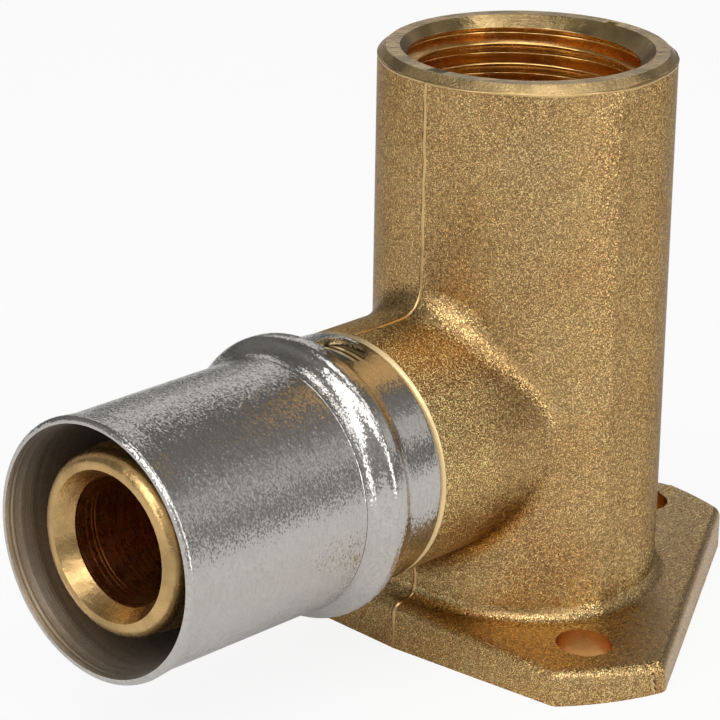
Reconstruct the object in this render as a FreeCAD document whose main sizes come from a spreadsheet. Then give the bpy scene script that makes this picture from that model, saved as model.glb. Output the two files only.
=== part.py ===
import FreeCAD, Part
import math
import os
import re

import Sketcher

# Wall plate elbow: a forged brass elbow with a wall plate, a female thread at the top and a press
# connection for multilayer pipe at the side. Millimetres. The origin is on the wall face, on the axis of
# the threaded socket. +Z points out of the socket, +X along the pipe branch. The forging's parting plane
# is y = 0, so the plate drafts away from it on both sides.

DIMENSIONS = [
    ("socket_radius", "12.7", "outer radius of the threaded socket"),
    ("socket_height", "50.7", "wall face to the socket's rim"),
    ("rim_bevel", "0.7", "bevel on the outside of the rim"),
    ("socket_flat_depth", "0.23", "how far the dies flatten the socket's two sides"),
    ("mouth_radius", "10.8", "radius of the lead-in chamfer at the rim"),
    ("thread_core_radius", "9.3155", "minor radius of the G 1/2 thread"),
    ("thread_depth", "16", "rim to the end of the tapped length"),
    ("waterway_radius", "6.5", "radius of the drilled way below the thread"),
    ("waterway_reach", "6.955", "branch axis down to the shoulder of the drill point"),
    ("drill_point_angle", "118", "full angle of the drill points, degrees"),
    ("plate_thickness", "4.1", "plate thickness on the parting plane"),
    ("plate_offset", "0.75", "socket axis back to the middle of the plate"),
    ("plate_margin", "2.6", "socket wall to the front edge, on the parting plane"),
    ("plate_side_angle", "120", "direction of a slanted side's normal, degrees"),
    ("plate_tip_margin", "5.3", "screw hole centre to the round tip of the plate"),
    ("plate_corner_rounding", "1.2", "rounding of the plate's upright corners"),
    ("plate_edge_rounding", "0.9", "rounding of the plate's upper edges"),
    ("forging_draft", "3.5", "draft away from the parting plane, degrees"),
    ("screw_circle", "35.2", "diameter of the screw hole circle"),
    ("screw_hole", "4.8", "diameter of a screw hole"),
    ("screw_count", "3", "number of screw holes"),
    ("first_screw_angle", "60", "direction of the first screw hole, degrees"),
    ("plate_blend", "1.1", "blend between socket and plate"),
    ("branch_blend", "2.6", "blend between socket and branch, where there is room for it"),
    ("blend_land", "0.3", "least plain wall between the branch blend and the plate blend"),
    ("branch_height", "19.455", "wall face to the branch axis"),
    ("boss_radius", "10.6", "radius of the forged branch"),
    ("boss_reach", "21.2", "socket axis to the machined shoulder"),
    ("shoulder_bevel", "0.35", "bevel at the machined shoulder"),
    ("pipe_diameter", "20", "outer diameter of the pipe"),
    ("pipe_wall", "2", "wall of the pipe"),
    ("sleeve_clearance", "0.08", "pipe to the inside of the sleeve"),
    ("sleeve_sheet", "0.6", "sheet thickness of the sleeve"),
    ("sleeve_length", "28.67", "shoulder to the sleeve's mouth"),
    ("flare_length", "2.4", "length of the mouth's flare"),
    ("flare_rise", "0.25", "how far the flare opens"),
    ("mouth_rounding", "0.4", "rounding of the mouth's outer edge"),
    ("bead_offset", "6.3", "shoulder to the middle of the bead"),
    ("bead_rise", "1.32", "height of the bead over the tube"),
    ("bead_crest_length", "0.5", "straight length of the bead's crest"),
    ("bead_crest_rounding", "1.1", "outer rounding of the crest"),
    ("bead_root_rounding", "1.9", "outer rounding of the roots"),
    ("lip_clearance", "0.1", "sleeve lip to the groove it sits in"),
    ("lip_depth", "0.7", "how far the sleeve's lip turns in behind the collar"),
    ("collar_width", "1.6", "collar that keeps the sleeve's lip"),
    ("collar_groove_depth", "0.25", "depth of the fine grooves round the collar"),
    ("collar_clearance", "0.1", "collar to the inside of the sleeve"),
    ("washer_thickness", "0.6", "insulating washer at the pipe stop"),
    ("washer_clearance", "0.1", "washer to the stub and to the sleeve"),
    ("window_length", "4.7", "inspection window, across the sleeve"),
    ("window_width", "3.2", "inspection window, along the sleeve"),
    ("window_offset", "2.45", "shoulder to the middle of the window"),
    ("window_angle", "7", "first window, turned from straight up, degrees"),
    ("window_count", "2", "number of windows"),
    ("stub_length", "27.25", "shoulder to the front of the stub's nose"),
    ("stub_bore_radius", "5.35", "radius of the waterway in the stub"),
    ("stub_mouth_radius", "6.25", "radius of the cone at the nose"),
    ("stub_mouth_depth", "1.5", "depth of the cone at the nose"),
    ("nose_length", "1.7", "length of the plain nose"),
    ("nose_rounding", "1", "rounding of the nose"),
    ("nose_clearance", "0.4", "nose to the inside of the pipe"),
    ("barb_clearance", "0.1", "barb crests to the inside of the pipe"),
    ("barb_height", "0.5", "barb crests over the root"),
    ("root_land", "1.9", "plain root between the washer and the first barb"),
    ("ring_section", "1.8", "section diameter of the O-rings"),
    ("ring_squeeze", "0.2", "how far an O-ring stands inside the pipe's wall"),
    ("ring_seat_gap", "0.02", "O-ring to the bottom of its groove"),
    ("ring_groove_width", "2.4", "width of an O-ring groove"),
    ("ring_land", "0.45", "plain land on each side of a groove"),
]
COLLAR_GROOVES = 2
REAR_BARBS = 3
MIDDLE_BARBS = 2
FRONT_BARBS = 3
HAIR = 1e-3
QUARTER_TURN = 90
FULL_TURN = 360
# How many times deeper a through cut is than what it cuts.
OVERRUN = 2
# Least share of its reckoned volume that a cut has to take out.
LEAST_SHARE = 0.6
# Steps along an edge when it is looked at for rounding.
EDGE_STEPS = 4
# The codes a sketch uses for its own axes and for the points of a curve.
ACROSS, UPRIGHT = -1, -2
START, END, CENTRE = 1, 2, 3

doc = FreeCAD.newDocument("wall_plate_elbow")
sheet = doc.addObject("Spreadsheet::Sheet", "dimensions")
for row, (alias, number, meaning) in enumerate(DIMENSIONS, start=1):
    sheet.set(f"A{row}", meaning)
    sheet.set(f"B{row}", number)
    sheet.setAlias(f"B{row}", alias)
doc.recompute()
ALIASES = {alias for alias, number, meaning in DIMENSIONS}

# Sizes that follow from the driving dimensions, as expressions over the sheet's cells.
PLATE_RADIUS = "(screw_circle / 2 + plate_tip_margin)"
PLATE_SIDE = "(socket_radius + plate_margin + plate_offset)"
SOCKET_FLAT = "(socket_radius - socket_flat_depth)"
BLEND_ROOM = "(branch_height - boss_radius - plate_thickness - plate_blend - blend_land)"
SLEEVE_INSIDE = "(pipe_diameter / 2 + sleeve_clearance)"
SLEEVE_OUTSIDE = f"({SLEEVE_INSIDE} + sleeve_sheet)"
PIPE_INSIDE = "(pipe_diameter / 2 - pipe_wall)"
BARB_RADIUS = f"({PIPE_INSIDE} - barb_clearance)"
ROOT_RADIUS = f"({BARB_RADIUS} - barb_height)"
NOSE_RADIUS = f"({PIPE_INSIDE} - nose_clearance)"
RING_OUTSIDE = f"({PIPE_INSIDE} + ring_squeeze)"
RING_GROOVE_RADIUS = f"({RING_OUTSIDE} - ring_section - ring_seat_gap)"
COLLAR_RADIUS = f"({SLEEVE_INSIDE} - collar_clearance)"
LIP_RADIUS = f"({COLLAR_RADIUS} - lip_depth)"
LIP_GROOVE_RADIUS = f"({LIP_RADIUS} - lip_clearance)"
LIP_GROOVE_END = "(boss_reach + sleeve_sheet + lip_clearance)"
COLLAR_END = f"({LIP_GROOVE_END} + collar_width)"
WASHER_END = f"({COLLAR_END} + washer_thickness)"
NOSE_FRONT = "(boss_reach + stub_length)"
NOSE_BACK = f"({NOSE_FRONT} - nose_length)"
RING_SPACE = "(ring_groove_width + 2 * ring_land)"
BARB_TOTAL = REAR_BARBS + MIDDLE_BARBS + FRONT_BARBS
BARB_PITCH = f"(({NOSE_BACK} - {WASHER_END} - root_land - 2 * {RING_SPACE}) / {BARB_TOTAL})"
REAR_BARB_START = f"({WASHER_END} + root_land)"
REAR_RING_START = f"({REAR_BARB_START} + {REAR_BARBS} * {BARB_PITCH})"
MIDDLE_BARB_START = f"({REAR_RING_START} + {RING_SPACE})"
FRONT_RING_START = f"({MIDDLE_BARB_START} + {MIDDLE_BARBS} * {BARB_PITCH})"
FRONT_BARB_START = f"({FRONT_RING_START} + {RING_SPACE})"


def tied(expression):
    """The expression with each cell's alias written as a cell of the sheet."""
    def cell(match):
        word = match.group(0)
        return f"dimensions.{word}" if word in ALIASES else word
    return re.sub(r"[a-z_]+", cell, expression)


def value(expression):
    """The number that an expression has now."""
    result = sheet.evalExpression(tied(expression))
    return float(getattr(result, "Value", result))


def sketch_on(body, name, role):
    """An empty sketch on one of the body's own origin planes."""
    sketch = body.newObject("Sketcher::SketchObject", name)
    plane = next(feature for feature in body.Origin.OriginFeatures if feature.Role == role)
    sketch.AttachmentSupport = (plane, [""])
    sketch.MapMode = "FlatFace"
    return sketch


def sketch_on_plate(body, name):
    """A sketch on the wall face whose origin is the middle of the plate."""
    sketch = sketch_on(body, name, "XY_Plane")
    sketch.setExpression("AttachmentOffset.Base.x", tied("-plate_offset"))
    return sketch


def sketch_on_branch(body, name):
    """A sketch on the parting plane whose horizontal axis is the branch axis."""
    sketch = sketch_on(body, name, "XZ_Plane")
    sketch.setExpression("AttachmentOffset.Base.y", tied("branch_height"))
    return sketch


def hold_point(sketch, curve, end, horizontal, vertical, name):
    """Ties a point of a sketch to two expressions."""
    for kind, expression, axis in (("DistanceX", horizontal, UPRIGHT), ("DistanceY", vertical, ACROSS)):
        if expression == "0":
            sketch.addConstraint(Sketcher.Constraint("PointOnObject", curve, end, axis))
            continue
        number = value(expression)
        held = Sketcher.Constraint(kind, ACROSS, START, curve, end, number)
        index = sketch.addConstraint(held)
        sketch.renameConstraint(index, f"{name}_{kind}")
        sketch.setExpression(f"Constraints.{name}_{kind}", tied(expression))


def arc_between(start, finish, radius, turn):
    """The short arc from one point to another that turns left (1) or right (-1)."""
    chord = finish - start
    rise = math.sqrt(max(radius ** 2 - (chord.Length / 2) ** 2, 0))
    left = FreeCAD.Vector(-chord.y, chord.x, 0).normalize()
    centre = (start + finish) / 2 + left * rise * turn
    first, last = (start, finish) if turn > 0 else (finish, start)
    angles = [math.atan2(point.y - centre.y, point.x - centre.x) for point in (first, last)]
    if angles[1] < angles[0]:
        angles[1] += 2 * math.pi
    circle = Part.Circle(centre, FreeCAD.Vector(0, 0, 1), radius)
    return Part.ArcOfCircle(circle, angles[0], angles[1])


def draw_outline(sketch, corners):
    """A closed outline. A corner is (x, y), or (x, y, radius, turn) where an arc leads to it."""
    points = [FreeCAD.Vector(value(corner[0]), value(corner[1]), 0) for corner in corners]
    begins = []
    ends = []
    for index, corner in enumerate(corners):
        start = points[index - 1]
        finish = points[index]
        begin, end = START, END
        if len(corner) == 2:
            sketch.addGeometry(Part.LineSegment(start, finish), False)
        else:
            sketch.addGeometry(arc_between(start, finish, value(corner[2]), corner[3]), False)
            if corner[3] < 0:
                begin, end = end, begin
        begins.append(begin)
        ends.append(end)
    for index, corner in enumerate(corners):
        after = (index + 1) % len(corners)
        sketch.addConstraint(Sketcher.Constraint("Coincident", index, ends[index], after, begins[after]))
        hold_point(sketch, index, ends[index], corner[0], corner[1], f"corner_{index}")
        if len(corner) == 4:
            radius = sketch.addConstraint(Sketcher.Constraint("Radius", index, value(corner[2])))
            sketch.renameConstraint(radius, f"radius_{index}")
            sketch.setExpression(f"Constraints.radius_{index}", tied(corner[2]))


def draw_circle(sketch, horizontal, vertical, diameter):
    """A circle tied to its centre and diameter."""
    centre = FreeCAD.Vector(value(horizontal), value(vertical), 0)
    circle = Part.Circle(centre, FreeCAD.Vector(0, 0, 1), value(diameter) / 2)
    curve = sketch.addGeometry(circle, False)
    hold_point(sketch, curve, CENTRE, horizontal, vertical, "centre")
    index = sketch.addConstraint(Sketcher.Constraint("Diameter", curve, value(diameter)))
    sketch.renameConstraint(index, "diameter")
    sketch.setExpression("Constraints.diameter", tied(diameter))


def turned(body, kind, name, sketch, axis):
    """A revolution or groove of a sketch about one of the sketch's own axes."""
    feature = body.newObject(f"PartDesign::{kind}", name)
    feature.Profile = sketch
    feature.ReferenceAxis = (sketch, [axis])
    feature.Angle = FULL_TURN
    doc.recompute()
    return feature


def rounded(body, name, radius, chosen):
    """A fillet on the edges of the body that a test of some points along the edge chooses."""
    base = body.Tip
    names = []
    for number, edge in enumerate(base.Shape.Edges, start=1):
        first, last = edge.ParameterRange
        step = (last - first) / EDGE_STEPS
        points = [edge.valueAt(first + step * index) for index in range(EDGE_STEPS + 1)]
        if chosen(points):
            names.append(f"Edge{number}")
    if not names:
        raise RuntimeError(f"{name}: no edge to round")
    fillet = body.newObject("PartDesign::Fillet", name)
    fillet.Base = (base, names)
    fillet.setExpression("Radius", tied(radius))
    doc.recompute()
    return fillet


def repeated(body, name, original, axis, count):
    """Copies of a cut, evenly spaced about an axis."""
    pattern = body.newObject("PartDesign::PolarPattern", name)
    pattern.Originals = [original]
    pattern.Axis = axis
    pattern.Angle = FULL_TURN
    pattern.setExpression("Occurrences", tied(count))
    body.Tip = pattern
    doc.recompute()
    return pattern


def check_cut(body, before, expected):
    """Stops the build if the last cuts of a body took out too little."""
    if before - body.Shape.Volume < LEAST_SHARE * expected:
        raise RuntimeError(f"{body.Label}: the cuts up to {body.Tip.Name} removed too little")


def new_body(label):
    body = doc.addObject("PartDesign::Body", label)
    body.Label = label
    return body


def make_plate(body):
    """Half the wall plate: half a disc with a slanted side and a front edge, drafted to the side."""
    front_angle = f"(forging_draft * 1 deg + acos({PLATE_SIDE} * cos(forging_draft) / {PLATE_RADIUS}))"
    side_spread = f"acos({PLATE_SIDE} / {PLATE_RADIUS})"
    front_corner, side_corner, tip_corner = [
        (f"{PLATE_RADIUS} * cos({angle})", f"{PLATE_RADIUS} * sin({angle})")
        for angle in (front_angle, f"(plate_side_angle * 1 deg - {side_spread})",
                      f"(plate_side_angle * 1 deg + {side_spread})")
    ]
    outline = sketch_on_plate(body, "plate_outline")
    draw_outline(outline, [
        (PLATE_SIDE, "0"),
        front_corner,
        (*side_corner, PLATE_RADIUS, 1),
        tip_corner,
        (f"-{PLATE_RADIUS}", "0", PLATE_RADIUS, 1),
    ])
    plate = body.newObject("PartDesign::Pad", "plate")
    plate.Profile = outline
    plate.setExpression("Length", tied("plate_thickness"))
    doc.recompute()
    corners = [(value(f"{x} - plate_offset"), value(y)) for x, y in (front_corner, side_corner, tip_corner)]

    def near_line(points, x, y):
        return all(math.hypot(point.x - x, point.y - y) < HAIR for point in points)

    rounded(body, "plate_corners", "plate_corner_rounding",
            lambda points: any(near_line(points, x, y) for x, y in corners))

    roof = sketch_on(body, "plate_roof", "YZ_Plane")
    draw_outline(roof, [
        ("0", "plate_thickness"),
        (PLATE_RADIUS, f"plate_thickness - {PLATE_RADIUS} * tan(forging_draft)"),
        (PLATE_RADIUS, f"plate_thickness * {OVERRUN}"),
        ("0", f"plate_thickness * {OVERRUN}"),
    ])
    draft = body.newObject("PartDesign::Pocket", "plate_draft")
    draft.Profile = roof
    draft.SideType = "Symmetric"
    draft.setExpression("Length", tied(f"{OVERRUN} * 2 * {PLATE_RADIUS}"))
    doc.recompute()
    thickness = value("plate_thickness")
    slope = math.tan(math.radians(value("forging_draft")))

    def on_roof(point):
        return abs(point.z - (thickness - point.y * slope)) < HAIR

    rounded(body, "plate_edges", "plate_edge_rounding",
            lambda points: all(map(on_roof, points)) and max(point.y for point in points) > HAIR)


def make_socket(body):
    """Half the upright socket with its flat side, blended into the half plate, then both mirrored."""
    outline = sketch_on(body, "socket_outline", "XY_Plane")
    flat_end = f"sqrt(socket_radius ^ 2 - {SOCKET_FLAT} ^ 2)"
    draw_outline(outline, [
        ("socket_radius", "0"),
        (flat_end, SOCKET_FLAT, "socket_radius", 1),
        (f"-{flat_end}", SOCKET_FLAT),
        ("-socket_radius", "0", "socket_radius", 1),
    ])
    socket = body.newObject("PartDesign::Pad", "socket")
    socket.Profile = outline
    socket.setExpression("Length", tied("socket_height"))
    doc.recompute()
    radius = value("socket_radius")
    flat = value(SOCKET_FLAT)
    top = value("plate_thickness")

    def on_wall(point):
        return abs(math.hypot(point.x, point.y) - radius) < HAIR or abs(point.y - flat) < HAIR

    rounded(body, "plate_joint", "plate_blend",
            lambda points: all(map(on_wall, points)) and all(HAIR < point.z < top + HAIR for point in points))
    half = body.Shape.Volume
    mirrored = body.newObject("PartDesign::Mirrored", "forged_halves")
    parting = next(feature for feature in body.Origin.OriginFeatures if feature.Role == "XZ_Plane")
    mirrored.MirrorPlane = (parting, [""])
    mirrored.TransformMode = "Whole shape"
    body.Tip = mirrored
    doc.recompute()
    if abs(body.Shape.Volume - 2 * half) > HAIR * half:
        raise RuntimeError("the halves of the forging overlap")
    bevel = sketch_on(body, "rim_bevel_profile", "XZ_Plane")
    draw_outline(bevel, [
        ("socket_radius", "socket_height - rim_bevel"),
        ("socket_radius + rim_bevel", "socket_height - rim_bevel"),
        ("socket_radius + rim_bevel", "socket_height + rim_bevel"),
        ("socket_radius - rim_bevel", "socket_height + rim_bevel"),
        ("socket_radius - rim_bevel", "socket_height"),
    ])
    turned(body, "Groove", "rim_bevel", bevel, "V_Axis")


def collar_grooves():
    """Fine V grooves round the collar, with lands of the same width between them."""
    step = f"collar_width / {2 * COLLAR_GROOVES + 1}"
    corners = []
    for groove in range(COLLAR_GROOVES):
        side = f"{LIP_GROOVE_END} + {2 * groove + 1} * {step}"
        corners.append((side, COLLAR_RADIUS))
        corners.append((f"{side} + {step} / 2", f"{COLLAR_RADIUS} - collar_groove_depth"))
        corners.append((f"{side} + {step}", COLLAR_RADIUS))
    return corners


def barbs(start, count):
    """Saw teeth that let a pipe slide on and not off."""
    corners = []
    for tooth in range(count):
        corners.append((f"{start} + {tooth} * {BARB_PITCH}", BARB_RADIUS))
        corners.append((f"{start} + {tooth + 1} * {BARB_PITCH}", ROOT_RADIUS))
    return corners


def ring_groove(start):
    """An O-ring groove between two lands."""
    return [
        (start, BARB_RADIUS),
        (f"{start} + ring_land", BARB_RADIUS),
        (f"{start} + ring_land", RING_GROOVE_RADIUS),
        (f"{start} + ring_land + ring_groove_width", RING_GROOVE_RADIUS),
        (f"{start} + ring_land + ring_groove_width", BARB_RADIUS),
    ]


def make_branch(body):
    """The forged branch and the turned stub for the pipe, in one profile."""
    profile = sketch_on_branch(body, "branch_profile")
    draw_outline(profile, [
        ("0", "0"),
        (NOSE_FRONT, "0"),
        (NOSE_FRONT, f"{NOSE_RADIUS} - nose_rounding"),
        (f"{NOSE_FRONT} - nose_rounding", NOSE_RADIUS, "nose_rounding", 1),
        (NOSE_BACK, NOSE_RADIUS),
        *reversed([
            (REAR_BARB_START, ROOT_RADIUS),
            *barbs(REAR_BARB_START, REAR_BARBS),
            *ring_groove(REAR_RING_START),
            *barbs(MIDDLE_BARB_START, MIDDLE_BARBS),
            *ring_groove(FRONT_RING_START),
            *barbs(FRONT_BARB_START, FRONT_BARBS),
        ]),
        (COLLAR_END, ROOT_RADIUS),
        (COLLAR_END, COLLAR_RADIUS),
        *reversed(collar_grooves()),
        (LIP_GROOVE_END, COLLAR_RADIUS),
        (LIP_GROOVE_END, LIP_GROOVE_RADIUS),
        ("boss_reach", LIP_GROOVE_RADIUS),
        ("boss_reach", "boss_radius - shoulder_bevel"),
        ("boss_reach - shoulder_bevel", "boss_radius"),
        ("0", "boss_radius"),
    ])
    turned(body, "Revolution", "branch", profile, "H_Axis")
    socket = value("socket_radius")
    boss = value("boss_radius")
    height = value("branch_height")
    rounded(body, "branch_joint", f"min(branch_blend; {BLEND_ROOM})",
            lambda points: all(abs(math.hypot(p.x, p.y) - socket) < HAIR for p in points)
            and all(abs(math.hypot(p.y, p.z - height) - boss) < HAIR for p in points))


def make_waterways(body):
    """The tapped socket with the way below it, and the bore of the stub."""
    before = body.Shape.Volume
    upright = sketch_on(body, "socket_bore_profile", "XZ_Plane")
    thread_end = "(socket_height - thread_depth)"
    floor = "(branch_height - waterway_reach)"
    point_slope = "tan(drill_point_angle / 2)"
    draw_outline(upright, [
        ("0", f"{floor} - waterway_radius / {point_slope}"),
        ("waterway_radius", floor),
        ("waterway_radius", f"{thread_end} - (thread_core_radius - waterway_radius) / {point_slope}"),
        ("thread_core_radius", thread_end),
        ("thread_core_radius", "socket_height - (mouth_radius - thread_core_radius)"),
        ("mouth_radius", "socket_height"),
        ("mouth_radius", "socket_height + rim_bevel"),
        ("0", "socket_height + rim_bevel"),
    ])
    turned(body, "Groove", "socket_bore", upright, "V_Axis")
    level = sketch_on_branch(body, "stub_bore_profile")
    draw_outline(level, [
        ("0", "0"),
        (f"{NOSE_FRONT} + nose_length", "0"),
        (f"{NOSE_FRONT} + nose_length", "stub_mouth_radius"),
        (NOSE_FRONT, "stub_mouth_radius"),
        (f"{NOSE_FRONT} - stub_mouth_depth", "stub_bore_radius"),
        ("0", "stub_bore_radius"),
    ])
    turned(body, "Groove", "stub_bore", level, "H_Axis")
    tapped = value("thread_core_radius ^ 2 * thread_depth")
    drilled = value(f"waterway_radius ^ 2 * ({thread_end} - {floor})")
    stub = value("stub_bore_radius ^ 2 * stub_length")
    check_cut(body, before, math.pi * (tapped + drilled + stub))


def make_screw_holes(body):
    """Plain holes through the plate, near its three tips."""
    before = body.Shape.Volume
    sketch = sketch_on_plate(body, "screw_hole_sketch")
    draw_circle(sketch, "screw_circle / 2 * cos(first_screw_angle)",
                "screw_circle / 2 * sin(first_screw_angle)", "screw_hole")
    hole = body.newObject("PartDesign::Pocket", "screw_hole")
    hole.Profile = sketch
    hole.Reversed = True
    hole.setExpression("Length", tied(f"{OVERRUN} * plate_thickness"))
    doc.recompute()
    repeated(body, "screw_holes", hole, (sketch, ["N_Axis"]), "screw_count")
    one_hole = math.pi * value("(screw_hole / 2) ^ 2 * plate_thickness")
    check_cut(body, before, one_hole * value("screw_count"))


def make_elbow():
    body = new_body("body")
    make_plate(body)
    make_socket(body)
    make_branch(body)
    make_waterways(body)
    make_screw_holes(body)
    return body


def bead(sheet_offset, side):
    """One flank of the bead, from the tube to the crest, for the outer (0) or inner (sheet) surface."""
    base = f"({SLEEVE_OUTSIDE} - {sheet_offset})"
    total = "(bead_crest_rounding + bead_root_rounding)"
    reach = f"sqrt(2 * bead_rise * {total} - bead_rise ^ 2)"
    middle = "(boss_reach + bead_offset)"
    root = f"(bead_root_rounding + {sheet_offset})"
    crest = f"(bead_crest_rounding - {sheet_offset})"
    return {
        "foot": (f"{middle} {side} (bead_crest_length / 2 + {reach})", base),
        "flank": (f"{middle} {side} (bead_crest_length / 2 + {reach} * {crest} / {total})",
                  f"{base} + bead_rise * {root} / {total}"),
        "top": (f"{middle} {side} bead_crest_length / 2", f"{base} + bead_rise"),
        "root": root,
        "crest": crest,
    }


def make_sleeve():
    """The press sleeve: a flared tube with a bead, a lip turned in behind the collar, and windows."""
    body = new_body("press_sleeve")
    mouth = "(boss_reach + sleeve_length)"
    outer_front = bead("0", "+")
    outer_back = bead("0", "-")
    inner_front = bead("sleeve_sheet", "+")
    inner_back = bead("sleeve_sheet", "-")
    profile = sketch_on_branch(body, "sleeve_profile")
    draw_outline(profile, [
        ("boss_reach", LIP_RADIUS),
        ("boss_reach + sleeve_sheet", LIP_RADIUS),
        ("boss_reach + sleeve_sheet", SLEEVE_INSIDE),
        inner_back["foot"],
        (*inner_back["flank"], inner_back["root"], 1),
        (*inner_back["top"], inner_back["crest"], -1),
        inner_front["top"],
        (*inner_front["flank"], inner_front["crest"], -1),
        (*inner_front["foot"], inner_front["root"], 1),
        (f"{mouth} - flare_length", SLEEVE_INSIDE),
        (mouth, f"{SLEEVE_INSIDE} + flare_rise"),
        (mouth, f"{SLEEVE_OUTSIDE} + flare_rise"),
        (f"{mouth} - flare_length", SLEEVE_OUTSIDE),
        outer_front["foot"],
        (*outer_front["flank"], outer_front["root"], -1),
        (*outer_front["top"], outer_front["crest"], 1),
        outer_back["top"],
        (*outer_back["flank"], outer_back["crest"], 1),
        (*outer_back["foot"], outer_back["root"], -1),
        ("boss_reach + sleeve_sheet", SLEEVE_OUTSIDE),
        ("boss_reach", f"{SLEEVE_OUTSIDE} - sleeve_sheet", "sleeve_sheet", 1),
    ])
    turned(body, "Revolution", "drawn_tube", profile, "H_Axis")
    end = value(mouth)
    axis = value("branch_height")
    rim = value(f"{SLEEVE_OUTSIDE} + flare_rise")
    rounded(body, "mouth_edge", "mouth_rounding",
            lambda points: all(abs(p.x - end) < HAIR and abs(math.hypot(p.y, p.z - axis) - rim) < HAIR
                               for p in points))

    before = body.Shape.Volume
    window = sketch_on(body, "window_sketch", "XY_Plane")
    window.setExpression("AttachmentOffset.Base.z", tied("branch_height"))
    window.setExpression("AttachmentOffset.Rotation.Axis.x", "1")
    window.setExpression("AttachmentOffset.Rotation.Axis.y", "0")
    window.setExpression("AttachmentOffset.Rotation.Axis.z", "0")
    window.setExpression("AttachmentOffset.Rotation.Angle", tied("-window_angle"))
    middle = "(boss_reach + window_offset)"
    half_width = "window_width / 2"
    straight = "(window_length - window_width) / 2"
    draw_outline(window, [
        (f"{middle} + {half_width}", f"-{straight}", half_width, 1),
        (f"{middle} + {half_width}", straight),
        (middle, "window_length / 2", half_width, 1),
        (f"{middle} - {half_width}", straight, half_width, 1),
        (f"{middle} - {half_width}", f"-{straight}"),
        (middle, "-window_length / 2", half_width, 1),
    ])
    cut = body.newObject("PartDesign::Pocket", "window")
    cut.Profile = window
    cut.Reversed = True
    cut.setExpression("Length", tied(f"{OVERRUN} * {SLEEVE_OUTSIDE}"))
    doc.recompute()
    repeated(body, "windows", cut, (profile, ["H_Axis"]), "window_count")
    one_window = value("window_length * window_width * sleeve_sheet")
    check_cut(body, before, one_window * value("window_count"))
    return body


def make_ring(label, groove_start):
    """An O-ring that lies on the bottom of its groove."""
    ring = doc.addObject("Part::Torus", label)
    ring.Label = label
    ring.setExpression("Radius1", tied(f"{RING_OUTSIDE} - ring_section / 2"))
    ring.setExpression("Radius2", tied("ring_section / 2"))
    ring.Placement.Rotation = FreeCAD.Rotation(FreeCAD.Vector(0, 1, 0), QUARTER_TURN)
    ring.setExpression("Placement.Base.x", tied(f"{groove_start} + {RING_SPACE} / 2"))
    ring.setExpression("Placement.Base.z", tied("branch_height"))
    return ring


def make_washer():
    """The insulating washer between the pipe's cut end and the brass collar."""
    body = new_body("insulating_washer")
    profile = sketch_on_branch(body, "washer_profile")
    inside = f"{ROOT_RADIUS} + washer_clearance"
    outside = f"{SLEEVE_INSIDE} - washer_clearance"
    draw_outline(profile, [
        (COLLAR_END, inside),
        (WASHER_END, inside),
        (WASHER_END, outside),
        (COLLAR_END, outside),
    ])
    turned(body, "Revolution", "washer", profile, "H_Axis")
    return body


def check_document():
    for item in doc.Objects:
        if "Invalid" in item.State or "Error" in item.State:
            raise RuntimeError(f"{item.Name}: {item.State}")


def export(items):
    os.makedirs("parts", exist_ok=True)
    for item in items:
        if item.Shape.isNull() or not item.Shape.isValid():
            raise RuntimeError(f"{item.Label}: bad shape")
    for item in items:
        item.Shape.exportStep(f"parts/{item.Label}.step")
        box = item.Shape.BoundBox
        print(f"{item.Label}: {len(item.Shape.Solids)} solid, {item.Shape.Volume:.1f} mm3,"
              f" {box.XLength:.2f} x {box.YLength:.2f} x {box.ZLength:.2f} mm")


pieces = [
    make_elbow(),
    make_sleeve(),
    make_ring("rear_o_ring", REAR_RING_START),
    make_ring("front_o_ring", FRONT_RING_START),
    make_washer(),
]
doc.recompute()
check_document()
export(pieces)
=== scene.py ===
import math

import bpy
import numpy as np
from mathutils import Matrix, Vector


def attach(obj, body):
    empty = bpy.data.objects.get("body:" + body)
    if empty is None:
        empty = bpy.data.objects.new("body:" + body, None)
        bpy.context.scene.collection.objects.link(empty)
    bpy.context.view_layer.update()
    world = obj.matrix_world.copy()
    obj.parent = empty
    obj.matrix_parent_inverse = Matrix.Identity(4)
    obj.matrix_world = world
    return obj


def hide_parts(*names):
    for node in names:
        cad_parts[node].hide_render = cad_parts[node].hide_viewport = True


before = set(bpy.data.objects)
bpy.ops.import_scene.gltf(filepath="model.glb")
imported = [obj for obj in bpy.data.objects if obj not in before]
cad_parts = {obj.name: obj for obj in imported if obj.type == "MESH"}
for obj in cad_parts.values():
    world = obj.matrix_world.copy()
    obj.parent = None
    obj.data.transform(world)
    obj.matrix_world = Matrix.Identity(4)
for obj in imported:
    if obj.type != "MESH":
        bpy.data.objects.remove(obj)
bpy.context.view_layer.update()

# Sizes of the solids that the scene's own geometry has to meet, in millimetres and degrees.
SOCKET_RADIUS = 12.7
RIM = 50.7
RIM_BEVEL = 0.7
MOUTH_RADIUS = 10.8
CORE_RADIUS = 9.3155
THREAD_END = 34.7
BRANCH_HEIGHT = 19.455
BOSS_RADIUS = 10.6
BRANCH_BLEND = 2.6
SHOULDER = 21.2
SHOULDER_BEVEL = 0.35
PLATE_TOP = 4.1
PLATE_BLEND = 1.1
PLATE_FRONT = 15.3
PLATE_TIP = 23.65
PLATE_TIP_RADIUS = 22.9
PLATE_EDGE = 0.9
PLATE_OFFSET = 0.75
COLLAR_MIDDLE = 22.7
COLLAR_HALF = 0.9
COLLAR_ROOT = 9.6
COLLAR_LAND = 9.9
STUB_BORE = 5.35
SCREW_CIRCLE = 17.6
SCREW_RADIUS = 2.4
SCREW_TURNS = (60, 180, 300)
BEAD_FOOT = 30.24

# The standard parallel pipe thread of this size, in millimetres.
PITCH = 1.814
SHARP_DEPTH = 0.9605 * PITCH
ROUNDED_OFF = SHARP_DEPTH / 6
THREAD_DEPTH = SHARP_DEPTH * 2 / 3
THREAD_SOFTNESS = 0.07

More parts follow.
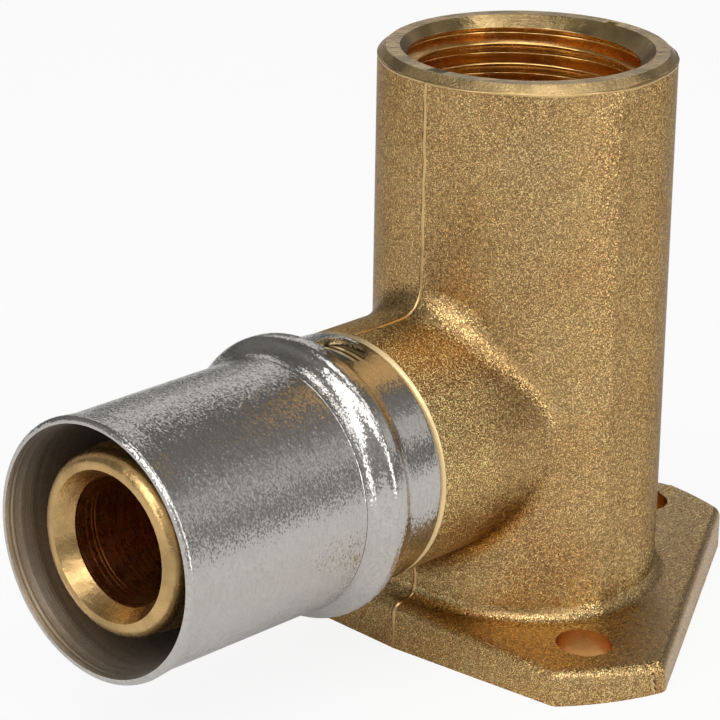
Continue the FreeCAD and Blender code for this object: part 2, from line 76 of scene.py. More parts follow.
# The ridges at the parting lines and at the crack, in millimetres.
FLASH_WIDTH = 0.15
FLASH_HEIGHT = 0.13
CRACK_WIDTH = 0.14
CRACK_HEIGHT = 0.12

# How far a triangle may stand off the wall or edge that it belongs to, in millimetres.
SLACK = 0.01

# Added to a length that may be zero, before something is divided by it.
TINY = 1e-12

MILLIMETRE = 0.001
draws = np.random.default_rng(seed=7)

# Material slots of the brass piece.
FORGED, FACED, THREADED, TURNED, BORED, DRILLED, PAINTED_HIGHLIGHT_RIDGE, PAINTED_SHADE_CREASE, PAINTED_HIGHLIGHT_RING, BEVEL, PLATE = range(11)


# Geometry of the brass piece: the body with its thread and the traces of its forging and facing.

def body_triangles():
    """The corners and corner normals of the body's triangles, in millimetres."""
    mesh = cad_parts["body"].data
    corner = np.empty(len(mesh.loops), np.int32)
    mesh.loops.foreach_get("vertex_index", corner)
    points = np.empty(len(mesh.vertices) * 3)
    mesh.vertices.foreach_get("co", points)
    normals = np.empty(len(mesh.loops) * 3)
    mesh.corner_normals.foreach_get("vector", normals)
    points = points.reshape(-1, 3)[corner].reshape(-1, 3, 3) / MILLIMETRE
    return points, normals.reshape(-1, 3, 3)


def on_shoulder_bevel(along, radius):
    """Which triangles lie on the bevel of the branch's shoulder."""
    half = SHOULDER_BEVEL / 2
    return (abs(along + half - SHOULDER) < half) & (abs(radius + half - BOSS_RADIUS) < half)


def surface_kind(points, normals):
    """How each triangle of the body was finished; a few slots hold painted shade and painted highlights
    instead.
    """
    along, across, height = points.mean(axis=1).T
    upward = normals.mean(axis=1)[:, 2]
    steep = abs(upward) < 0.5
    from_socket = np.hypot(along, across)
    from_branch = np.hypot(across, height - BRANCH_HEIGHT)
    rim = height > RIM - RIM_BEVEL
    collar = abs(along - COLLAR_MIDDLE) < COLLAR_HALF
    kind = np.where(height > PLATE_TOP + PLATE_BLEND / 2, FORGED, PLATE)
    kind[rim] = FACED
    kind[rim & (from_socket > SOCKET_RADIUS - RIM_BEVEL)] = BEVEL
    kind[(from_socket < CORE_RADIUS + SLACK) & (height > PLATE_TOP)] = BORED
    kind[(along > SHOULDER - SHOULDER_BEVEL) & (from_branch < BOSS_RADIUS)] = TURNED
    # The shoulder's bevel takes the paler ring brass, a painted highlight.
    kind[on_shoulder_bevel(along, from_branch)] = PAINTED_HIGHLIGHT_RING
    # Painted shade on the collar's groove flanks, and a painted highlight on its lands.
    kind[collar & (from_branch > COLLAR_ROOT)] = PAINTED_SHADE_CREASE
    kind[collar & (from_branch > COLLAR_LAND)] = PAINTED_HIGHLIGHT_RING
    kind[(along > 0) & (from_branch < STUB_BORE + SLACK)] = BORED
    for turn in SCREW_TURNS:
        angle = math.radians(turn)
        beside = np.hypot(along + PLATE_OFFSET - SCREW_CIRCLE * math.cos(angle),
                          across - SCREW_CIRCLE * math.sin(angle))
        kind[(beside < SCREW_RADIUS + SLACK) & steep] = DRILLED
    return kind


def soften_shoulder(points, normals):
    """Turns the normals of the shoulder's bevel as on a rounded edge, which catches light all round."""
    first_turn = 20
    sweep = 50
    outward = points[:, :, 1:] - (0, BRANCH_HEIGHT)
    reach = np.linalg.norm(outward, axis=2, keepdims=True)
    bevel = on_shoulder_bevel(points[:, :, 0].mean(axis=1), reach.mean(axis=(1, 2)))
    share = (points[bevel, :, :1] - SHOULDER + SHOULDER_BEVEL) / SHOULDER_BEVEL
    turn = np.radians(first_turn + sweep * share)
    normals[bevel] = np.concatenate([np.sin(turn), np.cos(turn) * outward[bevel] / reach[bevel]], axis=2)


def body_patch():
    """The body without the plain core of its socket, which the thread takes the place of."""
    points, normals = body_triangles()
    soften_shoulder(points, normals)
    core = np.hypot(points[:, :, 0], points[:, :, 1]).max(axis=1) < MOUTH_RADIUS + SLACK
    core &= points[:, :, 2].min(axis=1) > THREAD_END - SLACK
    points = points[~core]
    normals = normals[~core]
    return points, normals, surface_kind(points, normals)


def grid_patch(points, slots, closed):
    """Triangles of a grid of points, with smooth normals and a slot for each cell."""
    columns = points.shape[1]
    padded = points
    if closed:
        padded = np.concatenate([points[:, -1:], points, points[:, :1]], axis=1)
    along = np.gradient(padded, axis=1)
    if closed:
        along = along[:, 1:-1]
    up = np.gradient(points, axis=0)
    normals = np.cross(along, up)
    normals /= np.linalg.norm(normals, axis=2, keepdims=True) + TINY
    steps = columns if closed else columns - 1
    here = np.arange(steps)
    after = (here + 1) % columns
    corners = []
    turned = []
    for row in range(len(points) - 1):
        lower = ((row, here), (row, after), (row + 1, after))
        upper = ((row, here), (row + 1, after), (row + 1, here))
        for triangle in (lower, upper):
            corners.append(np.stack([points[corner] for corner in triangle], axis=1))
            turned.append(np.stack([normals[corner] for corner in triangle], axis=1))
    kinds = np.broadcast_to(slots, (len(points) - 1, steps)).repeat(2, axis=0)
    return np.concatenate(corners), np.concatenate(turned), kinds.ravel()


def above_zero(length):
    """A length that bends softly into zero where it would go below."""
    return 0.5 * (length + np.sqrt(length ** 2 + THREAD_SOFTNESS ** 2))


def thread_depth(angle, height):
    """How far the thread's groove goes into the core, rounded at its crests and roots."""
    turn = (height / PITCH - angle / (2 * math.pi)) % 1.0
    sharp = SHARP_DEPTH * (1 - np.abs(2 * turn - 1)) - ROUNDED_OFF
    return THREAD_DEPTH - above_zero(THREAD_DEPTH - above_zero(sharp)) + THREAD_SOFTNESS / 2


def thread_patch():
    """The tapped bore with its lead-in chamfer, from the thread's end up to the rim."""
    columns = 288
    seen_depth = 7
    seen_from = RIM - seen_depth
    deep_step = 0.11
    seen_step = 0.05
    last_gap = 0.02
    plain_end = 0.3
    run_out = 2.2
    lead_in = 0.2
    heights = np.concatenate([
        np.arange(THREAD_END, seen_from, deep_step),
        np.arange(seen_from, RIM - last_gap, seen_step),
        [RIM],
    ])
    angle = np.linspace(0, 2 * math.pi, columns, endpoint=False)
    around, height = np.meshgrid(angle, heights)
    groove = thread_depth(around, height)
    groove *= np.clip((height - THREAD_END - plain_end) / run_out, 0, 1)
    groove *= np.clip((RIM - height) / lead_in, 0, 1)
    chamfer = MOUTH_RADIUS - (RIM - height)
    radius = np.maximum(CORE_RADIUS + groove, chamfer)
    points = np.stack([radius * np.cos(around), radius * np.sin(around), height], axis=2)
    slots = np.where(CORE_RADIUS + groove > chamfer, THREADED, FACED)
    return grid_patch(points[::-1], slots[:0:-1], True)


def smooth_noise(count, every, low=0.0, span=1.0):
    """A smooth random line between low and low + span, with a new value every few steps."""
    knots = draws.random(count // every + 3)
    return low + span * np.interp(np.arange(count) / every, np.arange(len(knots)), knots)


def ridge_patch(path, facing, sideways, width, height):
    """A thin uneven ridge along a path, with painted shade in a crease on one side and a painted
    highlight on its crest.
    """
    count = len(path)
    rise = height * smooth_noise(count, every=6, low=0.45, span=0.9)
    spread = width * smooth_noise(count, every=9, low=0.7, span=0.6)
    sway = width * smooth_noise(count, every=14, low=-0.5)
    # Across the ridge: how far to the side, in widths, and the share of the rise.
    profile = ((-1.7, -0.2), (-1.1, 0.15), (-0.35, 0.85), (0.1, 1), (0.6, 0.6), (1.2, -0.4))
    rows = []
    for side, share in profile:
        rows.append(path + (rise * share)[:, None] * facing + (sway + spread * side)[:, None] * sideways)
    # The crease rows are painted shade; the crest rows take the ridge brass, brightened as a painted
    # highlight.
    slots = np.array([PAINTED_SHADE_CREASE, PAINTED_SHADE_CREASE, PAINTED_HIGHLIGHT_RIDGE, PAINTED_HIGHLIGHT_RIDGE, PAINTED_HIGHLIGHT_RIDGE])
    return grid_patch(np.array(rows), slots[:, None], False)


def flash_patch(path, facing):
    """A ridge on the parting plane, along a path of (x, z) points that face outwards."""
    level = np.zeros(len(path))
    path = np.stack([path[:, 0], level, path[:, 1]], axis=1)
    facing = np.stack([facing[:, 0], level, facing[:, 1]], axis=1)
    return ridge_patch(path, facing, np.array([0, 1, 0]), FLASH_WIDTH, FLASH_HEIGHT)


def line_points(start, finish, facing, step=0.12):
    """Points of a straight run and the way they face."""
    count = max(2, int(math.dist(start, finish) / step))
    points = np.linspace(start, finish, count)
    return points, np.tile(facing, (count, 1))


def arc_points(centre, radius, first, last, hollow, step=4):
    """Points of an arc and the way they face, which is inwards on a hollow one."""
    count = max(2, int(abs(last - first) / step))
    angle = np.radians(np.linspace(first, last, count))
    outward = np.stack([np.cos(angle), np.sin(angle)], axis=1)
    return np.array(centre) + radius * outward, -outward if hollow else outward


def joined(*runs):
    """One path of several runs."""
    points = np.concatenate([run[0] for run in runs])
    facing = np.concatenate([run[1] for run in runs])
    return points, facing


def flash_lines():
    """The parting lines down the socket's front and over the branch, under it, and down the back."""
    blend = SOCKET_RADIUS + BRANCH_BLEND
    high = BRANCH_HEIGHT + BOSS_RADIUS + BRANCH_BLEND
    low = BRANCH_HEIGHT - BOSS_RADIUS - BRANCH_BLEND
    plate_blend = SOCKET_RADIUS + PLATE_BLEND
    plate_high = PLATE_TOP + PLATE_BLEND
    plate_foot = 0.05
    end = SHOULDER - SHOULDER_BEVEL
    hole = -PLATE_OFFSET - SCREW_CIRCLE
    over = joined(
        line_points((SOCKET_RADIUS, RIM - RIM_BEVEL), (SOCKET_RADIUS, high), (1, 0)),
        arc_points((blend, high), BRANCH_BLEND, 180, 270, True),
        line_points((blend, high - BRANCH_BLEND), (end, high - BRANCH_BLEND), (0, 1)),
    )
    under = joined(
        line_points((end, low + BRANCH_BLEND), (blend, low + BRANCH_BLEND), (0, -1)),
        arc_points((blend, low), BRANCH_BLEND, 90, 180, True),
        line_points((SOCKET_RADIUS, low), (SOCKET_RADIUS, plate_high), (1, 0)),
        arc_points((plate_blend, plate_high), PLATE_BLEND, 180, 270, True),
        line_points((plate_blend, PLATE_TOP), (PLATE_FRONT - PLATE_EDGE, PLATE_TOP), (0, 1)),
        arc_points((PLATE_FRONT - PLATE_EDGE, PLATE_TOP - PLATE_EDGE), PLATE_EDGE, 90, 0, False),
        line_points((PLATE_FRONT, PLATE_TOP - PLATE_EDGE), (PLATE_FRONT, plate_foot), (1, 0)),
    )
    back = joined(
        line_points((-SOCKET_RADIUS, RIM - RIM_BEVEL), (-SOCKET_RADIUS, plate_high), (-1, 0)),
        arc_points((-plate_blend, plate_high), PLATE_BLEND, 0, -90, True),
        line_points((-plate_blend, PLATE_TOP), (hole + SCREW_RADIUS, PLATE_TOP), (0, 1)),
    )
    tip = line_points((hole - SCREW_RADIUS, PLATE_TOP), (-PLATE_TIP + PLATE_EDGE, PLATE_TOP), (0, 1))
    return [flash_patch(*path) for path in (over, under, back, tip)]


def rim_burr():
    """The thin torn edge that facing left round the bevel of the rim."""
    columns = 360
    sunk_edge = 0.02
    below_bevel = 0.05
    angle = np.linspace(0, 2 * math.pi, columns, endpoint=False)
    ragged = smooth_noise(columns, every=5) * smooth_noise(columns, every=23)
    rise = 0.02 + 0.11 * ragged
    sway = 0.16 * smooth_noise(columns, every=17, low=-0.5)
    edge = RIM - RIM_BEVEL - below_bevel + sway
    # From the bevel down to the wall: how far sunk, the share of the rise, and how far above the edge.
    profile = ((0.25, 0, 0.2), (0, 0.75, 0.1), (0, 1, 0), (0, 0.6, -0.1), (0.05, 0, -0.2))
    rows = []
    for sunk, lift, above in profile:
        radius = SOCKET_RADIUS - sunk_edge - sunk + rise * lift
        rows.append(np.stack([radius * np.cos(angle), radius * np.sin(angle), edge + above], axis=1))
    # The burr takes the ridge brass, brightened as a painted highlight.
    return grid_patch(np.array(rows[::-1]), PAINTED_HIGHLIGHT_RIDGE, True)


def torn_corner():
    """The small crack in the plate's edge beside a corner, by (turn, height) marks on the round tip."""
    marks = np.array([(71.8, 0.3), (71.2, 0.65), (71.5, 1.0), (70.9, 1.35), (71.15, 1.65), (70.9, 1.95)])
    count = 40
    number = np.arange(len(marks))
    place = np.linspace(0, len(marks) - 1, count)
    turn = np.radians(np.interp(place, number, marks[:, 0]))
    height = np.interp(place, number, marks[:, 1])
    level = np.zeros(count)
    facing = np.stack([np.cos(turn), np.sin(turn), level], axis=1)
    path = PLATE_TIP_RADIUS * facing + np.stack([level - PLATE_OFFSET, level, height], axis=1)
    sideways = np.cross(facing, np.gradient(path, axis=0))
    sideways /= np.linalg.norm(sideways, axis=1, keepdims=True)
    return ridge_patch(path, facing, sideways, CRACK_WIDTH, CRACK_HEIGHT)


def make_brass():
    """One mesh for the forging: the body, its thread, the parting lines, the rim's burr and the crack."""
    decimals = 4
    patches = [body_patch(), thread_patch(), *flash_lines(), rim_burr(), torn_corner()]
    points, normals, slots = [np.concatenate(part) for part in zip(*patches)]
    places, corner = np.unique(points.reshape(-1, 3).round(decimals), axis=0, return_inverse=True)
    faces = corner.reshape(-1, 3)
    whole = (faces != np.roll(faces, 1, axis=1)).all(axis=1)
    mesh = bpy.data.meshes.new("brass_body")
    mesh.from_pydata((places * MILLIMETRE).tolist(), [], faces[whole].tolist())
    mesh.polygons.foreach_set("material_index", slots[whole].astype(np.int32))
    mesh.polygons.foreach_set("use_smooth", np.ones(whole.sum(), bool))
    mesh.normals_split_custom_set(normals[whole].reshape(-1, 3).tolist())
    mesh.update()
    piece = bpy.data.objects.new("brass_body", mesh)
    bpy.context.scene.collection.objects.link(piece)
    return piece


# Materials. Their scales are per metre and their distances in metres.

class Shader:
    """The emptied node tree of a new material or world, with short ways to add its nodes."""

    def __init__(self, owner):
        owner.use_nodes = True
        owner.node_tree.nodes.clear()
        self.owner = owner
        self.tree = owner.node_tree

    def add(self, kind, inputs=None, **settings):
        """A new node, with a link or a constant for each input that is given."""
        made = self.tree.nodes.new(kind)
        for name, setting in settings.items():
            setattr(made, name, setting)
        for name, given in (inputs or {}).items():
            if isinstance(given, bpy.types.NodeSocket):
                self.tree.links.new(given, made.inputs[name])
            else:
                made.inputs[name].default_value = given
        return made

    def maths(self, operation, *given):
        """A number worked out from others."""
        return self.add("ShaderNodeMath", dict(enumerate(given)), operation=operation).outputs[0]

    def plus(self, first, second):
        return self.maths("ADD", first, second)

    def minus(self, first, second):
        return self.maths("SUBTRACT", first, second)

    def times(self, first, second):
        return self.maths("MULTIPLY", first, second)

    def line(self, share, slope, start):
        """A number that grows from a start with a slope."""
        return self.maths("MULTIPLY_ADD", share, slope, start)

    def spread(self, share, low, high, start=0.0, end=1.0):
        """A number taken from one range, start to end, to another, low to high."""
        made = self.add("ShaderNodeMapRange", {"Value": share, "From Min": start, "From Max": end,
                                               "To Min": low, "To Max": high})
        return made.outputs[0]

    def rise(self, length, start, end):
        """A share that goes from 0 to 1 between two lengths in millimetres."""
        return self.spread(length, 0.0, 1.0, start * MILLIMETRE, end * MILLIMETRE)

    def fall(self, length, start, end):
        """A share that goes from 1 to 0 between two lengths in millimetres."""
        return self.spread(length, 1.0, 0.0, start * MILLIMETRE, end * MILLIMETRE)

    def vector(self, operation, *given):
        """A vector worked out from others."""
        return self.add("ShaderNodeVectorMath", dict(enumerate(given)), operation=operation).outputs[0]

    def measure(self, operation, *given):
        """A number worked out from vectors."""
        made = self.add("ShaderNodeVectorMath", dict(enumerate(given)), operation=operation)
        return made.outputs["Value"]

    def scaled(self, vector, scale):
        return self.add("ShaderNodeVectorMath", {0: vector, "Scale": scale}, operation="SCALE").outputs[0]

    def split(self, vector):
        """The three parts of a vector, by their names."""
        return self.add("ShaderNodeSeparateXYZ", {"Vector": vector}).outputs

    def combine(self, **parts):
        """A vector of the parts that are given, with 0 for the others."""
        return self.add("ShaderNodeCombineXYZ", parts).outputs[0]

    def place(self):
        return self.add("ShaderNodeTexCoord").outputs["Object"]

    def straight(self):
        """The surface's own normal."""
        return self.add("ShaderNodeNewGeometry").outputs["Normal"]

    def noise(self, place, scale, detail=2.0, roughness=0.5):
        made = self.add("ShaderNodeTexNoise", {"Vector": place, "Scale": scale, "Detail": detail,
                                               "Roughness": roughness})
        return made.outputs["Fac"]

    def line_noise(self, length, scale, detail=2.0):
        """Noise along one line."""
        inputs = {"W": self.times(length, scale), "Scale": 1.0, "Detail": detail}
        return self.add("ShaderNodeTexNoise", inputs, noise_dimensions="1D").outputs["Fac"]

    def cells(self, place, scale):
        """Small cells, each with a random colour of its own."""
        made = self.add("ShaderNodeTexVoronoi", {"Vector": place, "Scale": scale, "Randomness": 1.0})
        return made.outputs["Color"]

    def channel(self, shade, number):
        """One of a colour's three channels."""
        return self.add("ShaderNodeSeparateColor", {"Color": shade}).outputs[number]

    def facets(self, normal, cells, tilt):
        """A normal that each cell tilts its own way."""
        offset = self.vector("SUBTRACT", cells, (0.5, 0.5, 0.5))
        return self.vector("NORMALIZE", self.vector("ADD", normal, self.scaled(offset, tilt)))

    def bump(self, height, strength, distance, normal=None):
        inputs = {"Height": height, "Strength": strength, "Distance": distance}
        if normal is not None:
            inputs["Normal"] = normal
        return self.add("ShaderNodeBump", inputs).outputs["Normal"]

    def colour(self, share, *stops):
        """A colour ramp of (position, colour) stops."""
        made = self.add("ShaderNodeValToRGB", {"Fac": share})
        ramp = made.color_ramp
        while len(ramp.elements) < len(stops):
            ramp.elements.new(0.5)
        for element, (position, shade) in zip(ramp.elements, stops):
            element.position = position
            element.color = (*shade, 1)
        return made.outputs["Color"]

    def seen(self, straight, mirrored):
        """One share for what the camera sees straight, another for what it sees in metal or glass."""
        path = self.add("ShaderNodeLightPath").outputs
        glossy = self.maths("MAXIMUM", path["Is Glossy Ray"], path["Is Transmission Ray"])
        direct = self.times(path["Is Camera Ray"], straight)
        return self.maths("MAXIMUM", direct, self.times(glossy, mirrored))

    def finish(self, **inputs):
        """The material, with its surface's inputs named as the arguments are."""
        named = {name.replace("_", " "): given for name, given in inputs.items()}
        surface = self.add("ShaderNodeBsdfPrincipled", named)
        end = self.add("ShaderNodeOutputMaterial", {"Surface": surface.outputs[0]})
        end.is_active_output = True
        return self.owner


def forged_brass(name, grazing, painted_plate_foot_highlight):
    """Blasted forging: fine facets that glint, painted glints, a stained surface, paler on branch and
    plate as painted light.
    """
    shader = Shader(bpy.data.materials.new(name))
    place = shader.place()
    cells = shader.cells(place, scale=15500.0)
    facets = shader.facets(shader.straight(), cells, tilt=0.42)
    uneven = shader.noise(place, scale=1100.0, detail=3.0)
    normal = shader.bump(uneven, strength=0.12, distance=0.0001, normal=facets)
    stain = shader.noise(place, scale=160.0, detail=4.0, roughness=0.6)
    tone = shader.colour(
        stain,
        (0.3, (0.44, 0.264, 0.106)),
        (0.55, (0.48, 0.3, 0.126)),
        (0.75, (0.5, 0.328, 0.147)),
    )
    parts = shader.split(place)
    # Painted light: paler on the branch, and a painted highlight on the plate's top and the socket's
    # foot.
    branch = shader.rise(parts["X"], SOCKET_RADIUS, SOCKET_RADIUS + BRANCH_BLEND)
    edge = shader.rise(parts["Z"], PLATE_TOP - PLATE_EDGE, PLATE_TOP)
    foot = shader.fall(parts["Z"], PLATE_TOP + PLATE_BLEND, 2 * PLATE_TOP)
    plate = shader.times(edge, foot)
    paler = shader.plus(shader.line(branch, slope=0.2, start=1.0), shader.times(plate, painted_plate_foot_highlight))
    # The cells' colour is random grain tone, and its brightest cells are painted glints beside the
    # facets' real ones.
    glint = shader.maths("POWER", shader.channel(cells, 0), 4.0)
    grain_and_painted_glint = shader.line(glint, slope=2.3, start=0.51)
    speckled = shader.scaled(tone, shader.times(grain_and_painted_glint, paler))
    worn = shader.spread(shader.noise(place, scale=2500.0), 0.2, 0.36, start=0.3, end=0.7)
    rough = shader.line(branch, slope=0.14, start=worn)
    return shader.finish(Base_Color=speckled, Metallic=1.0, Roughness=rough, Normal=normal,
                         Specular_Tint=(*grazing, 1))


def lathed_brass(name, upright, tone, rough, marks, blotch, lines=9000.0, tears=900.0):
    """Machined brass with turning marks round one axis, and blotches where the cut tore the surface.

    Lines and tears are counted per metre.
    """
    shader = Shader(bpy.data.materials.new(name))
    place = shader.place()
    parts = shader.split(place)
    if upright:
        first = parts["X"]
        second = parts["Y"]
        along = parts["Z"]
    else:
        first = parts["Y"]
        second = shader.minus(parts["Z"], BRANCH_HEIGHT * MILLIMETRE)
        along = parts["X"]
    squares = shader.plus(shader.times(first, first), shader.times(second, second))
    radius = shader.maths("SQRT", squares)
    # The marks follow the axis on a wall and the radius on a face.
    slanted = shader.plus(along, shader.times(radius, 1.3))
    turned = shader.line_noise(slanted, scale=lines, detail=3.0)
    torn = shader.noise(place, scale=tears, detail=4.0, roughness=0.7)
    marked = shader.bump(turned, strength=marks, distance=0.25 / lines)
    normal = shader.bump(torn, strength=blotch, distance=0.0001, normal=marked)
    stain = shader.noise(place, scale=320.0, detail=3.0)
    dark = tuple((1 - 0.6 * blotch) * part for part in tone)
    shade = shader.colour(stain, (0.35, dark), (0.6, tone))
    uneven = shader.spread(torn, rough - 0.06, rough + 0.1, start=0.3, end=0.7)
    return shader.finish(Base_Color=shade, Metallic=1.0, Roughness=uneven, Normal=normal)


def brass_materials():
    """The finishes of the brass piece, in the order of its slots, some with painted light and shade in
    their colour.
    """
    return [
        forged_brass("forged_brass", grazing=(0.57, 0.54, 0.5), painted_plate_foot_highlight=0.3),
        lathed_brass("faced_brass", True, (0.6, 0.42, 0.19), rough=0.2, marks=0.25, blotch=0.65),
        lathed_brass("threaded_brass", True, (0.76, 0.46, 0.16), rough=0.2, marks=0.3, blotch=0.12),
        lathed_brass("turned_brass", False, (0.6, 0.395, 0.17), rough=0.26, marks=0.3, blotch=0.55),
        lathed_brass("bored_brass", False, (0.7, 0.385, 0.15), rough=0.26, marks=1.0, blotch=0.1,
                     lines=2800.0),
        lathed_brass("drilled_brass", True, (0.84, 0.5, 0.2), rough=0.2, marks=0.3, blotch=0.3),
        # Smoother ridge brass, brighter than the forging as a painted highlight.
        lathed_brass("ridge_painted_highlight_brass", True, (0.66, 0.45, 0.2), rough=0.28, marks=0.1, blotch=0.3),
        # A dark brass that is painted shade, in creases and grooves.
        lathed_brass("crease_painted_shade_brass", True, (0.16, 0.095, 0.035), rough=0.4, marks=0.1, blotch=0.3),
        # A paler, rougher copy of the turned brass, a painted highlight on the collar's lands and the
        # shoulder's bevel.
        lathed_brass("ring_painted_highlight_brass", False, (0.86, 0.66, 0.36), rough=0.45, marks=0.2, blotch=0.2),
        lathed_brass("bevel_brass", True, (0.74, 0.52, 0.24), rough=0.26, marks=0.2, blotch=0.8,
                     tears=3000.0),
        # The plate's copy of the forging, with a smaller painted highlight and a white grazing tint.
        forged_brass("plate_brass", grazing=(1, 1, 1), painted_plate_foot_highlight=0.2),
    ]


def brushed_steel():
    """Stainless sheet: grained round its axis, most on the tube, with drawing rings inside it."""
    shader = Shader(bpy.data.materials.new("brushed_stainless"))
    place = shader.place()
    straight = shader.straight()
    parts = shader.split(place)
    along = parts["X"]
    across = parts["Y"]
    above = shader.minus(parts["Z"], BRANCH_HEIGHT * MILLIMETRE)
    turn = shader.maths("ARCTAN2", across, above)
    outwards = shader.vector("NORMALIZE", shader.combine(Y=across, Z=above))
    facing = shader.measure("DOT_PRODUCT", outwards, straight)
    outside = shader.spread(facing, 0.0, 1.0, start=-0.4, end=-0.1)

    # The grain: fine cells, longer round the axis, which tilt the normal.
    tube = shader.rise(along, BEAD_FOOT - 1.2, BEAD_FOOT + 0.6)
    grained = shader.times(outside, shader.line(tube, slope=0.35, start=0.65))
    wound = shader.combine(X=shader.times(along, 11000.0), Y=shader.times(turn, 70.0))
    cells = shader.cells(wound, scale=1.0)
    facets = shader.facets(straight, cells, shader.times(grained, 0.25))

    # Larger forms: slow waves, the rolled line at the bead's foot, and the rings inside.
    waves = shader.noise(place, scale=260.0, detail=3.0)
    waved = shader.bump(waves, strength=0.12, distance=0.0003, normal=facets)
    from_line = shader.maths("ABSOLUTE", shader.minus(along, (BEAD_FOOT + 0.05) * MILLIMETRE))
    ridge = shader.fall(from_line, 0.0, 0.1)
    lined = shader.bump(ridge, strength=0.9, distance=0.00004, normal=waved)
    rings = shader.line_noise(along, scale=1300.0)
    normal = shader.bump(rings, strength=shader.spread(outside, 0.6, 0.0), distance=0.0001, normal=lined)

    # Colour and gloss in bands round the axis, duller inside, and paler inside as painted light.
    streaks = shader.combine(X=shader.times(along, 4200.0), Y=shader.times(turn, 9.0))
    bands = shader.noise(streaks, scale=1.0)
    shade = shader.colour(bands, (0.3, (0.48, 0.455, 0.425)), (0.7, (0.53, 0.505, 0.47)))
    speckled = shader.scaled(shade, shader.spread(shader.channel(cells, 2), 0.9, 1.08))
    # Inside the sleeve the colour is painted paler, light painted into its shade.
    paler_inside_painted_light = shader.scaled(speckled, shader.spread(outside, 1.4, 1.0))
    dull = shader.spread(outside, 0.32, 0.0)
    polish = shader.line(grained, slope=0.11, start=shader.spread(bands, 0.07, 0.13))
    rough = shader.plus(dull, polish)
    return shader.finish(Base_Color=paler_inside_painted_light, Metallic=1.0, Roughness=rough, Normal=normal)


def dark_seal(name, tone, rough, scale):
    """Rubber or plastic of the seals, slightly mottled."""
    shader = Shader(bpy.data.materials.new(name))
    mottle = shader.noise(shader.place(), scale, detail=4.0)
    pale = tuple(1.7 * part for part in tone)
    shade = shader.colour(mottle, (0.3, tone), (0.7, pale))
    normal = shader.bump(mottle, strength=0.2, distance=0.00005)
    uneven = shader.spread(mottle, rough - 0.08, rough + 0.08)
    return shader.finish(Base_Color=shade, Roughness=uneven, Normal=normal)


def give(node, material):
    """Puts one material on all of a node."""
    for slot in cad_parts[node].material_slots:
        slot.material = material


brass = make_brass()
for finish in brass_materials():
    brass.data.materials.append(finish)
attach(brass, "root")
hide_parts("body")
give("press_sleeve", brushed_steel())
rubber = dark_seal("seal_rubber", (0.016, 0.016, 0.017), rough=0.45, scale=4000.0)
give("rear_o_ring", rubber)
give("front_o_ring", rubber)
give("insulating_washer", dark_seal("washer_plastic", (0.02, 0.02, 0.021), rough=0.5, scale=2500.0))


# Stage, light and camera, in metres and degrees.

# The side that the room and the floor's reflections are paler on, between +X and +Y.
PALE_SIDE = (0.5, 0.87, 0.0)

# How bright the room is at each height, from the horizon at 0 to straight above at 1.
ROOM = ((0.0, 0.2), (0.12, 0.28), (0.3, 0.42), (0.6, 0.36), (0.85, 0.22), (1.0, 0.4))

# Each light's name, azimuth from +X towards +Y, elevation, distance, width, height and radiance.
LIGHTS = (
    ("key_light", 36, 48, 0.6, 0.8, 0.28, 3.0),
    ("right_light", 92, 14, 0.6, 0.16, 0.34, 3.2),
    ("left_light", -2, 20, 0.6, 0.24, 0.3, 3.0),
    ("high_right_light", 110, 56, 0.6, 0.2, 0.3, 1.8),
    ("side_light", 140, 23, 0.6, 0.26, 0.2, 0.42),
    ("back_light", 223, 28, 0.8, 0.6, 0.3, 0.7),
    ("top_light", 200, 84, 0.7, 0.3, 0.3, 2.0),
)
LIGHT_AIM = Vector((0.01, 0.0, 0.022))

# The photograph's own viewpoint, worked out from its round forms, with lens and sensor in millimetres.
CAMERA_PLACE = (0.2143305, 0.1822318, 0.1258746)
CAMERA_YAW = math.radians(43.1647)
CAMERA_PITCH = math.radians(20.2355)
CAMERA_ROLL = math.radians(-0.9604)
CAMERA_LENS = 172.0087
CAMERA_SENSOR = 36.0


def grey(level):
    return (level, level, level)


def ray(azimuth, elevation):
    """The direction that lies at an azimuth and an elevation, in radians."""
    level = math.cos(elevation)
    return Vector((math.cos(azimuth) * level, math.sin(azimuth) * level, math.sin(elevation)))


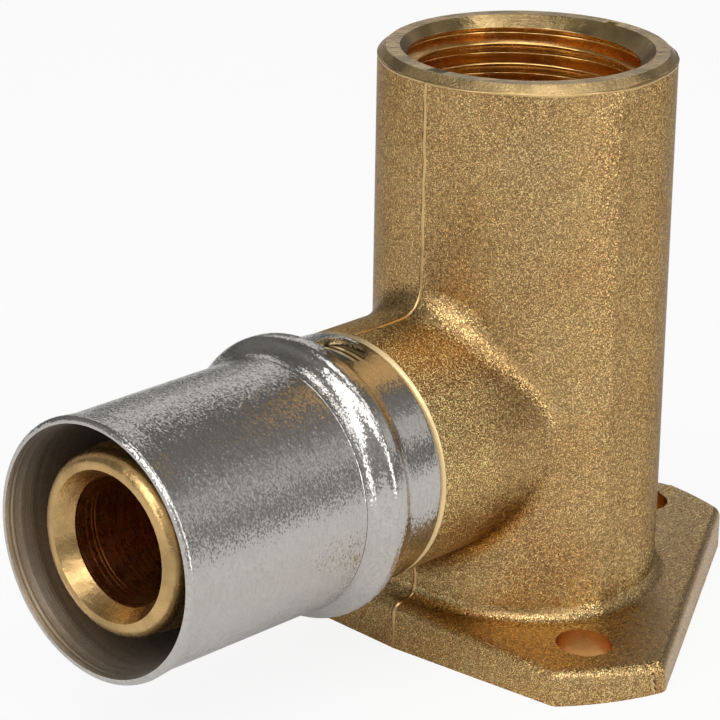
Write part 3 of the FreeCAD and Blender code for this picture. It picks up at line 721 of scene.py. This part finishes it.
def make_floor():
    """A pale floor, almost white to the camera, and dimmer where metal mirrors it near the object, a
    painted shadow.
    """
    bpy.ops.mesh.primitive_plane_add(size=6.0, location=(0, 0, 0))
    floor = bpy.context.active_object
    floor.name = "floor"
    shader = Shader(bpy.data.materials.new("pale_floor"))
    place = shader.place()
    mottle = shader.noise(place, scale=40.0)
    shade = shader.colour(mottle, (0.3, grey(0.88)), (0.7, grey(0.9)))
    matt = shader.add("ShaderNodeBsdfDiffuse", {"Color": shade})
    white = shader.add("ShaderNodeEmission", {"Color": (1, 1, 1, 1), "Strength": 1.0})
    # In metal the floor's glow is painted paler towards the pale side, and faded near the object as a
    # painted shadow.
    front = shader.measure("DOT_PRODUCT", shader.vector("NORMALIZE", place), PALE_SIDE)
    # How far from the object, which is longer along X.
    reach = shader.measure("LENGTH", shader.vector("MULTIPLY", place, (0.6, 1.0, 1.0)))
    clear = shader.spread(reach, 0.05, 1.0, start=0.012, end=0.055)
    mirrored = shader.times(shader.line(front, slope=0.26, start=0.46), clear)
    share = shader.seen(straight=0.88, mirrored=mirrored)
    mixed = shader.add("ShaderNodeMixShader", {0: share, 1: matt.outputs[0], 2: white.outputs[0]})
    shader.add("ShaderNodeOutputMaterial", {"Surface": mixed.outputs[0]})
    floor.data.materials.append(shader.owner)


def make_world():
    """A dim studio with a pale band above the horizon, paler on one side."""
    world = bpy.data.worlds.new("studio")
    bpy.context.scene.world = world
    shader = Shader(world)
    direction = shader.add("ShaderNodeTexCoord").outputs["Generated"]
    stops = [(height, grey(level)) for height, level in ROOM]
    room = shader.colour(shader.split(direction)["Z"], *stops)
    front = shader.measure("DOT_PRODUCT", direction, PALE_SIDE)
    strength = shader.line(front, slope=0.3, start=0.78)
    lit = shader.add("ShaderNodeBackground", {"Color": room, "Strength": strength})
    shader.add("ShaderNodeOutputWorld", {"Surface": lit.outputs[0]})


def soft_box(name, azimuth, elevation, distance, width, height, radiance):
    """A rectangular soft light that looks at the object."""
    back = ray(math.radians(azimuth), math.radians(elevation))
    light = bpy.data.lights.new(name, "AREA")
    light.shape = "RECTANGLE"
    light.size = width
    light.size_y = height
    light.energy = radiance * math.pi * width * height
    lamp = bpy.data.objects.new(name, light)
    lamp.location = LIGHT_AIM + back * distance
    lamp.rotation_euler = (-back).to_track_quat("-Z", "Y").to_euler()
    bpy.context.scene.collection.objects.link(lamp)


def make_camera():
    """The camera at the photograph's viewpoint."""
    forward = -ray(CAMERA_YAW, CAMERA_PITCH)
    right = forward.cross(Vector((0, 0, 1))).normalized()
    down = forward.cross(right)
    level = math.cos(CAMERA_ROLL) * right + math.sin(CAMERA_ROLL) * down
    below = -math.sin(CAMERA_ROLL) * right + math.cos(CAMERA_ROLL) * down
    axes = Matrix((level, -below, -forward)).transposed().to_4x4()
    data = bpy.data.cameras.new("camera")
    data.sensor_width = CAMERA_SENSOR
    data.lens = CAMERA_LENS
    data.clip_start = 0.01
    data.clip_end = 20.0
    camera = bpy.data.objects.new("camera", data)
    camera.matrix_world = Matrix.Translation(CAMERA_PLACE) @ axes
    bpy.context.scene.collection.objects.link(camera)
    bpy.context.scene.camera = camera


make_floor()
make_world()
for box in LIGHTS:
    soft_box(*box)
make_camera()
bpy.context.scene.view_settings.view_transform = "Standard"
